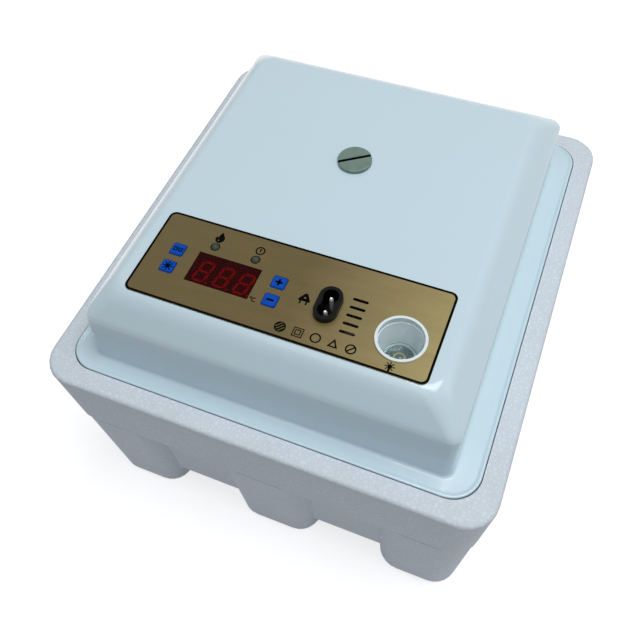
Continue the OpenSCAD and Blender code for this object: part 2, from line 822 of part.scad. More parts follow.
// Three-digit module: case with recessed segments
module display_module() {
    z = board_z + board_t + seat_gap;
    h = display_h - seat_gap;
    color("black") at(window_at, z) difference() {
        translate([-window_w / 2, -window_d / 2, 0]) cube([window_w, window_d, h]);
        for (i = [-1 : 1]) translate([i * digit_pitch, 0, h - seg_deep])
            linear_extrude(seg_deep + eps) digit();
    }
}

module control_board() {
    color("darkgreen") difference() {
        translate([board_x0, board_y0, board_z])
            cube([board_x1 - board_x0, board_y1 - board_y0, board_t]);
        for (p = board_posts) at(p, board_z - eps) cylinder(r = screw_r + 0.2, h = board_t + 2 * eps);
    }
    // plug header for the ribbon, under the board
    color("white") translate([board_x1 - 24, board_y1 - 8, board_z - 6]) cube([12, 6, 6.2]);
}

module control_board_screws() {
    color("silver") for (p = board_posts)
        at(p, board_z - seat_gap - screw_head_h) screw(board_t + 5);
}

module tact_switches() {
    z = board_z + board_t + seat_gap;
    s = 6;
    color("dimgray") for (p = buttons) at(p, z) {
        translate([-s / 2, -s / 2, 0]) cube([s, s, switch_h]);
        cylinder(r = plunger_r, h = switch_h + plunger_h);
    }
}

// Round-nosed lamps that look out through the panel
module indicator_lamps() {
    z = board_z + board_t + seat_gap;
    shoulder_z = z + 3;
    nose_z = face_z - lamp_r * 0.4;
    color("crimson") for (p = lamps_at) at(p) {
        translate([0, 0, shoulder_z]) cylinder(r = lamp_r + 0.5, h = 1);
        translate([0, 0, shoulder_z]) cylinder(r = lamp_r, h = nose_z - shoulder_z);
        translate([0, 0, nose_z]) intersection() {
            sphere(lamp_r);
            translate([0, 0, -0.2]) cylinder(r = lamp_r + 1, h = lamp_r + 1);
        }
        for (sx = [-1, 1]) translate([sx * 1.27 - 0.25, -0.25, z]) cube([0.5, 0.5, 3.2]);
    }
}

module buzzer() {
    color("black") at(buzzer_at, board_z - seat_gap - buzzer_h) tube(buzzer_r, 1, buzzer_h);
}

// Square cap with a skirt under the lid and a stem above the switch's plunger
module button(p) {
    cap_top = face_z + button_proud;
    skirt_top = ceiling_z - run_gap;
    skirt_z = skirt_top - button_skirt_h;
    stem_z = board_z + board_t + seat_gap + switch_h + plunger_h + run_gap + button_travel;
    edge = 0.4;
    color("royalblue") at(p) {
        translate([0, 0, skirt_z]) linear_extrude(cap_top - edge - skirt_z)
            round_rect(button_w / 2, button_d / 2, 1);
        translate([0, 0, cap_top - edge - eps]) linear_extrude(edge + eps)
            round_rect(button_w / 2 - edge, button_d / 2 - edge, 0.8);
        translate([0, 0, skirt_z]) linear_extrude(button_skirt_h)
            round_rect(button_w / 2 + button_flange, button_d / 2 + button_flange, 1);
        if (skirt_z > stem_z)
            translate([0, 0, stem_z]) cylinder(r = plunger_r, h = skirt_z - stem_z + eps / 2);
    }
}

module button_set() { button(set_at); }
module button_lamp() { button(light_at); }
module button_plus() { button(plus_at); }
module button_minus() { button(minus_at); }

// ---------- power inlet ----------

// Long round-ended outline of the inlet's shroud, grown by g
module inlet_outline(g = 0) {
    r = inlet_w / 2 + g;
    square([2 * r, inlet_l - inlet_w], center = true);
    for (sy = [-1, 1]) translate([0, sy * (inlet_l - inlet_w) / 2]) circle(r);
}

module power_inlet() {
    top = face_z + inlet_proud;
    wing_z = ceiling_z - seat_gap;
    wing_t = 1.6;
    bottom = top - socket_depth - 3;
    color("#202020") at(inlet_at) difference() {
        union() {
            translate([0, 0, bottom]) linear_extrude(top - bottom) inlet_outline();
            translate([0, 0, wing_z - wing_t]) linear_extrude(wing_t) inlet_outline(1.6);
        }
        translate([0, 0, top - socket_depth]) linear_extrude(socket_depth + eps) {
            for (sy = [-1, 1]) translate([0, sy * pin_pitch / 2]) circle(socket_w / 2);
            square([socket_w - 1.6, pin_pitch], center = true);
        }
        for (sy = [-1, 1]) translate([0, sy * pin_pitch / 2, bottom - eps])
            cylinder(r = pin_r + seat_gap, h = top - bottom);
    }
}

module inlet_pins() {
    top = face_z + inlet_proud - 2;
    bottom = face_z + inlet_proud - socket_depth - 7;
    color("silver") for (sy = [-1, 1]) at(inlet_at) translate([0, sy * pin_pitch / 2, bottom]) {
        cylinder(r = pin_r, h = top - bottom - pin_r);
        translate([0, 0, top - bottom - pin_r]) cylinder(r1 = pin_r, r2 = pin_r / 2, h = pin_r);
    }
}

// ---------- candling lamp ----------

// Cup that an egg stands in: lip, straight seat, then a cone down to the lens
module candling_cup() {
    step = 0.3;
    color("white") at(cup_at) difference() {
        union() {
            translate([0, 0, cup_top - cup_lip_h]) cylinder(r = cup_r, h = cup_lip_h);
            translate([0, 0, cup_bottom])
                cylinder(r = cup_body_r, h = cup_top - cup_bottom - cup_lip_h / 2);
        }
        translate([0, 0, cup_top - cup_bore_h]) cylinder(r = cup_bore_r, h = cup_bore_h + eps);
        translate([0, 0, cup_top - cup_depth])
            cylinder(r1 = cup_floor_r, r2 = cup_bore_r - step, h = cup_depth - cup_bore_h + 0.01);
        translate([0, 0, cup_bottom - eps]) cylinder(r = cup_floor_r - 1.4, h = cup_floor_t + 2 * eps);
    }
}

module candling_lens() {
    disc = 1.2;
    dome_r = 12;
    rise = 2.2;
    color("lightcyan") at(cup_at, cup_top - cup_depth + seat_gap) {
        cylinder(r = cup_floor_r - 0.2, h = disc);
        intersection() {
            translate([0, 0, disc + rise - dome_r]) sphere(dome_r);
            translate([0, 0, disc / 2]) cylinder(r = cup_floor_r - 2, h = rise + disc);
        }
    }
}

module candling_led() {
    star_r = cup_floor_r + 1;
    chip_h = 0.6;
    rise = 0.7;
    dome_r = 3.8;
    z = cup_bottom - seat_gap - board_t;
    color("silver") at(cup_at, z) {
        cylinder(r = star_r, h = board_t);
        translate([0, 0, board_t - seat_gap]) cylinder(r = 3.4, h = chip_h + seat_gap);
        intersection() {
            translate([0, 0, board_t + chip_h + rise - dome_r]) sphere(dome_r);
            translate([0, 0, board_t + chip_h / 2]) cylinder(r = 2.2, h = 2);
        }
    }
}

// ---------- air vent ----------

// Two opposite quarter windows of the valve's shutters
module quarters(r) {
    for (a = [0, 180]) rotate([0, 0, a]) intersection() {
        circle(r);
        polygon([[0.8, 0.8], [2 * r, 0.8], [2 * r, 2 * r], [0.8, 2 * r]]);
    }
}

module vent_tube() {
    z0 = panel_z;
    z1 = ceiling_z - seat_gap;
    web_z = stem_z - run_gap - valve_t;
    color("white") at(vent_at) {
        translate([0, 0, z0]) tube(tube_r, tube_r - tube_wall, z1 - z0);
        translate([0, 0, z1 - 2]) tube(tube_r + 3, tube_r - tube_wall, 2);
        translate([0, 0, insul_top + seat_gap]) tube(tube_r + 3, tube_r - tube_wall, 2);
        translate([0, 0, web_z]) linear_extrude(valve_t) difference() {
            circle(tube_r - tube_wall / 2);
            quarters(stem_r - 1.4);
        }
    }
}

// Coin-slotted plug; turning it a quarter shuts the windows at its foot
module vent_plug() {
    wall = 1.5;
    edge = 0.6;
    groove = 1.2;
    color("slategray") at(vent_at) rotate([0, 0, coin_angle]) difference() {
        union() {
            translate([0, 0, plug_z]) cylinder(r = plug_r, h = plug_h - edge);
            translate([0, 0, plug_z + plug_h - edge])
                cylinder(r1 = plug_r, r2 = plug_r - edge, h = edge);
            translate([0, 0, stem_z]) cylinder(r = stem_r, h = stem_l + eps);
        }
        translate([0, 0, stem_z + valve_t]) cylinder(r = stem_r - wall, h = stem_l - valve_t - 0.4);
        translate([0, 0, plug_z + plug_h - groove + eps])
            cube([2 * plug_r + 2, coin_w, groove + eps], center = true);
        translate([0, 0, plug_z + plug_h / 2])
            cube([1.5 * (stem_r - wall), coin_w, 2 * plug_h], center = true);
        translate([0, 0, stem_z - eps]) linear_extrude(valve_t + 2 * eps) quarters(stem_r - wall - 0.6);
    }
}

// ---------- fan ----------

module fan_frame() {
    strut_w = 4;
    color("#303030") {
        difference() {
            translate([0, 0, fan_z]) linear_extrude(fan_h) round_rect(fan_w / 2, fan_w / 2, 4);
            translate([0, 0, fan_z - eps]) cylinder(r = fan_bore_r, h = fan_h + 2 * eps);
            for (p = fan_holes) at(p, fan_z - eps) cylinder(r = screw_r + 0.2, h = fan_h + 2 * eps);
        }
        difference() {
            union() {
                translate([0, 0, fan_top - plate_t]) cylinder(r = hub_r, h = plate_t);
                for (a = [30, 150, 270]) rotate([0, 0, a])
                    translate([0, -strut_w / 2, fan_top - plate_t])
                        cube([fan_bore_r + 0.6, strut_w, plate_t]);
                translate([0, 0, rotor_z + hub_wall + 1])
                    cylinder(r = stator_r, h = fan_top - plate_t - rotor_z - hub_wall - 1 + 0.1);
            }
            translate([0, 0, rotor_z]) cylinder(r = shaft_r + shaft_gap, h = rotor_top - rotor_z + 0.4);
        }
    }
}

module fan_rotor() {
    chord = (rotor_h - 2) / sin(blade_tilt);
    color("black") {
        difference() {
            translate([0, 0, rotor_z]) cylinder(r = hub_r, h = rotor_h);
            translate([0, 0, rotor_z + hub_wall]) cylinder(r = hub_r - hub_wall, h = rotor_h);
        }
        translate([0, 0, rotor_z + hub_wall / 2]) cylinder(r = shaft_r, h = rotor_h - hub_wall);
        intersection() {
            for (i = [0 : blades - 1]) rotate([0, 0, 360 * i / blades])
                translate([0, 0, rotor_z + rotor_h / 2]) rotate([blade_tilt, 0, 0])
                    translate([hub_r - 0.6, -chord / 2, -blade_t / 2])
                        cube([blade_r - hub_r + 4, chord, blade_t]);
            translate([0, 0, rotor_z + 0.4]) tube(blade_r, hub_r - 0.5, rotor_h - 0.8);
        }
    }
}

// Moulded finger guard: rings, spokes and four ears
module fan_guard() {
    bar = 1.8;
    step = (fan_bore_r - 6) / guard_rings;
    color("#404040") translate([0, 0, guard_z]) linear_extrude(guard_t) difference() {
        union() {
            for (i = [1 : guard_rings]) difference() {
                circle(6 + i * step + bar / 2);
                circle(6 + i * step - bar / 2);
            }
            circle(6);
            for (a = [45, 135]) rotate(a) square([fan_pitch * sqrt(2), bar], center = true);
            for (p = fan_holes) translate(p) circle(screw_head_r + 1);
        }
        for (p = fan_holes) translate(p) circle(screw_r + 0.2);
    }
}

module fan_screws() {
    color("silver") for (p = fan_holes)
        at(p, guard_z - seat_gap - screw_head_h) screw(guard_t + fan_h + panel_t + 3);
}

// ---------- heater and sensors ----------

module heater_ring() {
    sweep_a = 360 - heater_gap;
    color("firebrick") {
        rotate([0, 0, heater_mid + heater_gap / 2]) translate([0, 0, heater_z])
            rotate_extrude(angle = sweep_a) translate([heater_r, 0]) circle(heater_tube_r);
        for (a = leg_angles) rotate([0, 0, a]) translate([heater_r, 0, heater_z]) {
            cylinder(r = leg_r, h = leg_top - heater_z);
            sphere(elbow_r);
        }
    }
}

// Hangers from the panel down to a saddle under the heater's tube
module heater_clips() {
    r_in = heater_tube_r + 0.2;
    r_out = r_in + clip_t;
    top = panel_z - seat_gap;
    color("silver") for (a = clip_angles) rotate([0, 0, a])
        translate([heater_r, clip_w / 2, heater_z]) rotate([90, 0, 0]) linear_extrude(clip_w) {
            difference() {
                circle(r_out);
                circle(r_in);
                translate([-2 * r_out, 0]) square([4 * r_out, 2 * r_out]);
            }
            translate([r_in, -0.1]) square([clip_t, top - heater_z + 0.1]);
            translate([r_in - 3, top - heater_z - clip_t]) square([clip_t + 6, clip_t]);
        }
}

module thermal_fuse() {
    r = 2.2;
    fuse_l = 12;
    z = panel_z - seat_gap - r;
    color("goldenrod") rotate([0, 0, 90]) translate([heater_r, 0, z]) rotate([90, 0, 0]) {
        translate([0, 0, -fuse_l / 2]) cylinder(r = r, h = fuse_l);
        translate([0, 0, fuse_l / 2 - 0.2]) cylinder(r = 0.5, h = 5);
        translate([0, 0, -fuse_l / 2 - 4.8]) cylinder(r = 0.5, h = 5);
    }
}

// Steel-capped probe in a rubber gland
module temperature_probe() {
    z = panel_z - probe_l;
    color("darkgray") at(probe_at) {
        translate([0, 0, z + probe_r]) cylinder(r = probe_r, h = probe_l - probe_r);
        translate([0, 0, z + probe_r]) sphere(probe_r);
        translate([0, 0, panel_z - 2 - seat_gap]) cylinder(r = gland_r, h = 2);
        translate([0, 0, panel_z - 1]) cylinder(r = gland_r - 1.5, h = panel_t + 2);
        translate([0, 0, insul_z + seat_gap]) cylinder(r = gland_r, h = 2);
    }
}

// ---------- power board ----------

module power_board() {
    color("olivedrab") difference() {
        translate([power_x0, power_y0, power_z]) cube([power_x1 - power_x0, power_y1 - power_y0, board_t]);
        for (p = power_posts) at(p, power_z - eps) cylinder(r = screw_r + 0.2, h = board_t + 2 * eps);
    }
}

// Laminated core with its winding bobbin
module transformer() {
    bobbin = 3;
    color("darkslategray") at(core_at, power_top + seat_gap) {
        translate([-core_w / 2, -core_d / 2, 0]) cube([core_w, core_d / 4, core_h]);
        translate([-core_w / 2, core_d / 4, 0]) cube([core_w, core_d / 4, core_h]);
        translate([-core_w / 2, -core_d / 2, 0]) cube([core_w / 6, core_d, core_h]);
        translate([core_w / 2 - core_w / 6, -core_d / 2, 0]) cube([core_w / 6, core_d, core_h]);
        translate([-core_w / 6, -core_d / 2 - bobbin, bobbin])
            cube([core_w / 3, core_d + 2 * bobbin, core_h - 2 * bobbin]);
    }
}

// Capacitors, relay, and the screw terminals
module power_parts() {
    z = power_top + seat_gap;
    can_r = 5;
    can_h = 16;
    relay = [19, 15, 15];
    color("navy") {
        for (x = [17, 28.5]) at([power_x0 + x, power_y0 + 18], z) {
            cylinder(r = can_r, h = can_h - 0.8);
            translate([0, 0, can_h - 0.8]) cylinder(r1 = can_r, r2 = can_r - 0.8, h = 0.8);
        }
        at([power_x0 + 36, power_y0 + 12], z) cube(relay);
        difference() {
            at(term_at, z) cube([term_w, term_d, term_h]);
            for (i = [0 : 3]) at([term_at[0] + term_w * (i + 0.5) / 4, term_at[1] + term_d / 2],
                                 z + term_h - 2) cylinder(r = 1.8, h = 3);
        }
        at(heat_term_at, z) cube([9, 14, term_h]);
        at(header_at, z) cube([6, header_w, header_h]);
    }
}

module power_board_screws() {
    color("silver") for (p = power_posts) at(p, power_top + seat_gap) screw_down(board_t + 6);
}

// ---------- leads inside the lid ----------

// Flat ribbon from the control board's header back and down to the power board's header
module ribbon_cable() {
    ribbon_w = 8;
    ribbon_t = 1;
    start = [board_x1 - 18, board_y1 - 2, board_z - 3];
    low = power_top + header_h - ribbon_t - 1;
    y_end = header_at[1] + (header_w + ribbon_w) / 2;
    color("lightgray") translate([start[0] - ribbon_w / 2, 0, 0]) rotate([90, 0, 90])
        linear_extrude(ribbon_w) polygon([
            [start[1] + run_gap, start[2]], [start[1] + 14, start[2]],
            [start[1] + 26, low + ribbon_t], [y_end, low + ribbon_t], [y_end, low],
            [start[1] + 25.4, low], [start[1] + 13.4, start[2] - ribbon_t],
            [start[1] + run_gap, start[2] - ribbon_t]]);
    color("lightgray") translate([start[0] - ribbon_w / 2, y_end - ribbon_w, low])
        cube([header_at[0] - seat_gap - start[0] + ribbon_w / 2, ribbon_w, ribbon_t]);
}

module mains_leads() {
    z = face_z + inlet_proud - socket_depth - 7;
    color("saddlebrown") for (i = [0, 1]) {
        y = inlet_at[1] + (i == 0 ? 1 : -1) * pin_pitch / 2;
        x_end = term_at[0] + term_w * (i + 0.5) / 4;
        y_end = term_at[1] - run_gap;
        lead([[inlet_at[0], y, z - 0.8], [inlet_at[0] + i, y, z - 6],
              [32 + 6 * i, y_end - 22, z - 12], [x_end, y_end - 8, wire_z],
              [x_end, y_end - 3, wire_z], [x_end, y_end, wire_z]]);
    }
}

module heater_leads() {
    color("indianred") for (i = [0, 1]) {
        a = leg_angles[i];
        tip = [heater_r * cos(a), heater_r * sin(a), leg_top + 1];
        y_end = heat_term_at[1] + 3.5 + 7 * (1 - i);
        x_end = heat_term_at[0] - run_gap;
        lead([tip, tip + [0, 0, 3], [-14, y_end - 2, leg_top + 5], [10, y_end, leg_top + 5],
              [x_end - 6, y_end, wire_z], [x_end, y_end, wire_z]]);
    }
}

module probe_lead() {
    z = insul_z + seat_gap + 2;
    end = [board_x0 + 34, board_y1 - 4, board_z - 0.6];
    color("black") lead([[probe_at[0], probe_at[1], z + run_gap], [probe_at[0], probe_at[1], z + 10],
                         [probe_at[0] + 12, probe_at[1] + 2, board_z - 14],
                         [end[0], end[1], board_z - 7], end]);
}

module candling_lead() {
    z = cup_bottom - seat_gap - board_t;
    x_end = term_at[0] + term_w * 2.5 / 4;
    y_end = term_at[1] - run_gap;
    color("black") lead([[cup_at[0] - 4, cup_at[1] + 4, z - 0.6], [cup_at[0] - 4, cup_at[1] + 5, z - 6],
                         [cup_at[0] - 7, cup_at[1] + 26, wire_z + 2], [x_end, y_end - 8, wire_z],
                         [x_end, y_end - 3, wire_z], [x_end, y_end, wire_z]]);
}

// From the fan's side up through the panel and across to the header
module fan_lead() {
    x = lead_hole_at[0];
    y = lead_hole_at[1];
    end = [header_at[0] - run_gap, header_at[1] + 1.6, power_top + 2];
    color("firebrick") lead([[-fan_w / 2 - run_gap, y, panel_z - 6], [x + 2, y, panel_z - 5.4],
                             [x, y, panel_z], [x, y, insul_top], [x + 8, y - 2, insul_top + 4],
                             [-6, y - 6, insul_top + 5], [end[0] - 8, end[1], end[2]], end]);
}

foam_base();
water_tray();
egg_rack();
rack_bars();
lid_cover();
inner_panel();
lid_insulation();
cover_screws();
control_faceplate();
display_window();
display_module();
control_board();
control_board_screws();
tact_switches();
indicator_lamps();
buzzer();
button_set();
button_lamp();
button_plus();
button_minus();
power_inlet();
inlet_pins();
candling_cup();
candling_lens();
candling_led();
vent_tube();
vent_plug();
fan_frame();
fan_rotor();
fan_guard();
fan_screws();
heater_ring();
heater_clips();
thermal_fuse();
temperature_probe();
power_board();
transformer();
power_parts();
power_board_screws();
ribbon_cable();
mains_leads();
heater_leads();
probe_lead();
candling_lead();
fan_lead();
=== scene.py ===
import math

import bmesh
import bpy
from mathutils import Matrix, Vector


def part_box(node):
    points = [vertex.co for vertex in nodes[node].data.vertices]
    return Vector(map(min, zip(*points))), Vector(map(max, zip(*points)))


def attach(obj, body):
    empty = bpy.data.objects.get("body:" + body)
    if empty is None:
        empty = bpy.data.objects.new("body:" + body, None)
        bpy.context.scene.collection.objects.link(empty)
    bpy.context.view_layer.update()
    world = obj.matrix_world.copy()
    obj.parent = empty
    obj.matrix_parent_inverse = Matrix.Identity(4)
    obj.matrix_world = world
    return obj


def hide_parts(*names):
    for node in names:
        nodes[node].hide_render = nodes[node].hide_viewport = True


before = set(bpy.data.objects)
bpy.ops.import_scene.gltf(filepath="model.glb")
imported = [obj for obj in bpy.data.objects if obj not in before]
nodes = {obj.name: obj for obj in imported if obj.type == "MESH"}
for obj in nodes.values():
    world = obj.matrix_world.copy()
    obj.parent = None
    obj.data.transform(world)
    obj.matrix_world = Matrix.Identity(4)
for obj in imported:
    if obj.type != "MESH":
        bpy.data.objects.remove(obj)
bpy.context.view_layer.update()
MM = 0.001


# ---------- node helpers ----------

def put(tree, socket, value):
    """Feed an input from a socket, or set it to a constant."""
    if isinstance(value, bpy.types.NodeSocket):
        tree.links.new(value, socket)
    else:
        socket.default_value = value


def add(tree, kind, **values):
    """New node. Lower-case names are its properties, the others its inputs."""
    node = tree.nodes.new(kind)
    for name in filter(str.islower, values):
        setattr(node, name, values[name])
    for name in values:
        if not name.islower():
            put(tree, node.inputs[name.replace("_", " ")], values[name])
    return node


def calc(tree, operation, *operands, kind="Math", out="Value", **values):
    """Result of a math or vector math node on sockets or constants."""
    node = add(tree, "ShaderNode" + kind, operation=operation, **values)
    for socket, value in zip(node.inputs, operands):
        put(tree, socket, value)
    return node.outputs[out]


def scaled(tree, value, **ends):
    """A value mapped from one range to another."""
    return add(tree, "ShaderNodeMapRange", Value=value, **ends).outputs["Result"]


def blend(tree, factor, a, b, kind="MIX"):
    """Two colours mixed, or multiplied."""
    node = add(tree, "ShaderNodeMix", data_type="RGBA", blend_type=kind, Factor=factor, A=a, B=b)
    return node.outputs["Result"]


def bumped(tree, height, depth, strength, **under):
    """Surface normal raised by a height, over another normal if one is given."""
    node = add(tree, "ShaderNodeBump", Height=height, Distance=depth, Strength=strength, **under)
    return node.outputs["Normal"]


def noise(tree, where, scale, detail, out="Fac"):
    return add(tree, "ShaderNodeTexNoise", Vector=where, Scale=scale, Detail=detail).outputs[out]


def own_metres(tree):
    """The object's own coordinates, which are the frame's at rest."""
    return add(tree, "ShaderNodeTexCoord").outputs["Object"]


def shader(mat):
    return mat.node_tree, mat.node_tree.nodes["Principled BSDF"].inputs


def recolour(mat, factor, colour, kind="MIX"):
    """Mix a colour over a material's own, or multiply the two."""
    tree, inputs = shader(mat)
    own = inputs["Base Color"].links[0].from_socket
    put(tree, inputs["Base Color"], blend(tree, factor, own, colour, kind))


# ---------- kinds of material ----------

def lin(rgb):
    """sRGB 0 to 255 as linear RGBA."""
    shares = [c / 255 for c in rgb]
    return (*[c / 12.92 if c <= 0.04045 else ((c + 0.055) / 1.055) ** 2.4 for c in shares], 1)


def gained(colour, gain, lift=0.0):
    return (*[min(c * gain + lift, 1) for c in colour[:3]], 1)


def surface(name, rgb, rough, spread=0.06, scale=60, bump=0.0, bump_scale=900, metal=0.0,
            coat=0.0, wear=0.0, stretch=(1, 1, 1), ior=1.5):
    """Colour and roughness that vary with noise in real metres, with a fine bump."""
    mat = bpy.data.materials.new(name)
    mat.use_nodes = True
    tree, inputs = shader(mat)
    inputs["Metallic"].default_value = metal
    inputs["Coat Weight"].default_value = coat
    inputs["Coat Roughness"].default_value = 0.08
    inputs["IOR"].default_value = ior
    base = lin(rgb)
    where = add(tree, "ShaderNodeMapping", Vector=own_metres(tree), Scale=stretch).outputs["Vector"]
    cloud = noise(tree, where, scale, 4.0)
    ramp = add(tree, "ShaderNodeValToRGB", Fac=cloud)
    for stop, at, gain in zip(ramp.color_ramp.elements, (0.3, 0.7), (1 - spread, 1 + spread)):
        stop.position = at
        stop.color = gained(base, gain)
    put(tree, inputs["Base Color"], ramp.outputs["Color"])
    if wear:
        edge = add(tree, "ShaderNodeNewGeometry").outputs["Pointiness"]
        worn = scaled(tree, edge, From_Min=0.51, From_Max=0.6, To_Max=wear)
        recolour(mat, worn, gained(base, 1.6, 0.04))
    gloss = scaled(tree, cloud, To_Min=rough * 0.85, To_Max=min(rough * 1.15, 1))
    put(tree, inputs["Roughness"], gloss)
    if bump:
        grain = noise(tree, where, bump_scale, 3.0)
        put(tree, inputs["Normal"], bumped(tree, grain, bump, 0.6))
    return mat


def foam(name, rgb, bead, depth):
    """Moulded bead foam: swollen cells with fine dark seams between them."""
    mat = surface(name, rgb, 0.72, spread=0.03, scale=25)
    tree, inputs = shader(mat)
    where = own_metres(tree)
    wobble = noise(tree, where, 0.6 / bead, 1.0, "Color")
    shift = calc(tree, "SCALE", wobble, kind="VectorMath", out="Vector", Scale=bead * 0.5)
    moved = calc(tree, "ADD", where, shift, kind="VectorMath", out="Vector")
    cells = add(tree, "ShaderNodeTexVoronoi", feature="DISTANCE_TO_EDGE", Vector=moved,
                Scale=1 / bead)
    tones = add(tree, "ShaderNodeTexVoronoi", Vector=moved, Scale=1 / bead)
    seam = scaled(tree, cells.outputs["Distance"], From_Max=0.38,
                  interpolation_type="SMOOTHERSTEP")
    tone = scaled(tree, tones.outputs["Color"], To_Min=0.95)
    recolour(mat, 1, calc(tree, "MULTIPLY", tone, scaled(tree, seam, To_Min=0.91)), "MULTIPLY")
    swell = bumped(tree, seam, depth, 0.3)
    pits = noise(tree, where, 4 / bead, 3.0)
    put(tree, inputs["Normal"], bumped(tree, pits, depth, 0.35, Normal=swell))
    return mat


def laminated(name, rgb, pitch):
    """Stack of steel sheets: fine bands across Y."""
    mat = surface(name, rgb, 0.45, metal=0.8)
    tree, inputs = shader(mat)
    bands = add(tree, "ShaderNodeTexWave", bands_direction="Y", Vector=own_metres(tree),
                Scale=1 / pitch / 3.2)
    put(tree, inputs["Normal"], bumped(tree, bands.outputs["Fac"], 0.2 * MM, 0.8))
    return mat


def film_with_painted_reflection(name, dark, light, x0, x1):
    """Metallic film with a painted reflection: darker before x0, lighter past x1, with fine
    brushing along X.
    """
    mat = surface(name, light, 0.34, spread=0.05, scale=220, bump=0.01 * MM, bump_scale=1600,
                  metal=0.3, stretch=(0.15, 1, 1))
    tree, _ = shader(mat)
    x = add(tree, "ShaderNodeSeparateXYZ", Vector=own_metres(tree)).outputs["X"]
    # painted reflection: the colour turns from dark to light along X
    shares = [d / b for d, b in zip(lin(dark), lin(light))]
    tone = blend(tree, scaled(tree, x, From_Min=x0, From_Max=x1), shares, (1, 1, 1, 1))
    recolour(mat, 1, tone, "MULTIPLY")
    return mat


def paint_recess_shade(mat, node, edge, shallow, deep):
    """Painted shade: blacken a round node between two depths below its top, inside its edge (mm).
    """
    tree, _ = shader(mat)
    lo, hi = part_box(node)
    where = own_metres(tree)
    flat = calc(tree, "MULTIPLY", where, (1, 1, 0), kind="VectorMath", out="Vector")
    axis = ((lo[0] + hi[0]) / 2, (lo[1] + hi[1]) / 2, 0)
    far = calc(tree, "DISTANCE", flat, axis, kind="VectorMath")
    z = add(tree, "ShaderNodeSeparateXYZ", Vector=where).outputs["Z"]
    inside = calc(tree, "LESS_THAN", far, (hi[0] - lo[0]) / 2 - edge * MM)
    below = calc(tree, "LESS_THAN", z, hi[2] - shallow * MM)
    above = calc(tree, "GREATER_THAN", z, hi[2] - deep * MM)
    mask = calc(tree, "MULTIPLY", calc(tree, "MULTIPLY", inside, below), above)
    # near-black painted shade
    recolour(mat, mask, (0.002, 0.003, 0.003, 1))


def clear(name, rgb, rough, weight, ior):
    mat = surface(name, rgb, rough, spread=0.04, scale=200, ior=ior)
    shader(mat)[1]["Transmission Weight"].default_value = weight
    return mat


def glowing(name, rgb, strength):
    mat = surface(name, rgb, 0.4, spread=0.08, scale=400)
    inputs = shader(mat)[1]
    inputs["Emission Color"].default_value = lin(rgb)
    inputs["Emission Strength"].default_value = strength
    return mat


def wire(name, rgb):
    return surface(name, rgb, 0.48, spread=0.08, scale=300, bump=0.05 * MM, bump_scale=700)


# ---------- smooth shading of the CAD nodes, without changing their meshes ----------

WELD = 1e-6         # metres
SHARP = 34          # an edge steeper than this stays sharp, degrees


def smoothing():
    group = bpy.data.node_groups.new("smooth_by_angle", "GeometryNodeTree")
    for way in ("INPUT", "OUTPUT"):
        group.interface.new_socket("Geometry", in_out=way, socket_type="NodeSocketGeometry")
    start = add(group, "NodeGroupInput").outputs[0]
    weld = add(group, "GeometryNodeMergeByDistance", Geometry=start, Distance=WELD)
    faces = add(group, "GeometryNodeSetShadeSmooth", Geometry=weld.outputs["Geometry"])
    angle = add(group, "GeometryNodeInputMeshEdgeAngle").outputs["Unsigned Angle"]
    steep = add(group, "FunctionNodeCompare", A=angle, B=math.radians(SHARP))
    edges = add(group, "GeometryNodeSetShadeSmooth", domain="EDGE", Shade_Smooth=False,
                Geometry=faces.outputs["Geometry"], Selection=steep.outputs["Result"])
    put(group, add(group, "NodeGroupOutput").inputs[0], edges.outputs["Geometry"])
    return group


smooth = smoothing()


def shade(obj):
    obj.modifiers.new("smooth", "NODES").node_group = smooth
    weigh = obj.modifiers.new("weigh", "WEIGHTED_NORMAL")
    weigh.keep_sharp = True
    weigh.weight = 90


# ---------- materials ----------

white_foam = foam("bead_foam", (222, 231, 238), 2.5 * MM, 0.3 * MM)
lid_white = surface("formed_sheet", (205, 227, 235), 0.2, spread=0.012, scale=6,
                    bump=0.03 * MM, bump_scale=90, coat=0.25)
inner_white = surface("white_sheet", (226, 231, 233), 0.42, spread=0.03, bump=0.03 * MM)
board_green = surface("solder_mask", (22, 78, 42), 0.32, spread=0.18, scale=380,
                      bump=0.03 * MM, bump_scale=1500)
board_olive = surface("phenolic_board", (112, 92, 44), 0.5, spread=0.12, scale=300,
                      bump=0.04 * MM)
steel = surface("zinc_steel", (176, 178, 180), 0.3, spread=0.1, scale=500, metal=0.95,
                bump=0.02 * MM, wear=0.3)
bright = surface("bright_pin", (246, 246, 240), 0.3, spread=0.05, scale=400, metal=0.5)
black_gloss = surface("black_gloss", (4, 4, 5), 0.3, spread=0.2, bump=0.02 * MM, wear=0.04,
                      ior=1.22)
black_matte = surface("black_moulding", (26, 26, 28), 0.5, spread=0.2, bump=0.05 * MM,
                      wear=0.25)
cup_white = surface("white_gloss", (232, 243, 246), 0.2, spread=0.03, bump=0.02 * MM, coat=0.4)
button_blue = surface("blue_cap", (0, 72, 172), 0.5, spread=0.1, scale=500, bump=0.03 * MM,
                      wear=0.1, ior=1.2)
lamp_grey = surface("lamp_smoke", (58, 66, 54), 0.5, spread=0.15, scale=700, ior=1.3)
plug_metal = surface("plug_satin", (98, 118, 110), 0.34, spread=0.12, scale=260, metal=0.55,
                     bump=0.03 * MM, wear=0.35)
# painted shade in the vent plug's slot
paint_recess_shade(plug_metal, "vent_plug", 0.3, 0.35, 2.3)
window_red = clear("window_red", (92, 3, 7), 0.06, 0.78, 1.12)
lens_clear = clear("lens_clear", (206, 222, 222), 0.06, 0.92, 1.4)
led_board = surface("led_board", (56, 70, 72), 0.35, spread=0.2, scale=700, metal=0.4,
                    bump=0.05 * MM)
rack_grey = surface("rack_plastic", (212, 216, 218), 0.4, spread=0.04, bump=0.04 * MM,
                    wear=0.2)
tray_blue = surface("tray_plastic", (190, 208, 220), 0.3, spread=0.05, bump=0.03 * MM)
heater_skin = surface("heater_tube", (128, 84, 62), 0.42, spread=0.2, scale=150, metal=0.6,
                      bump=0.05 * MM)
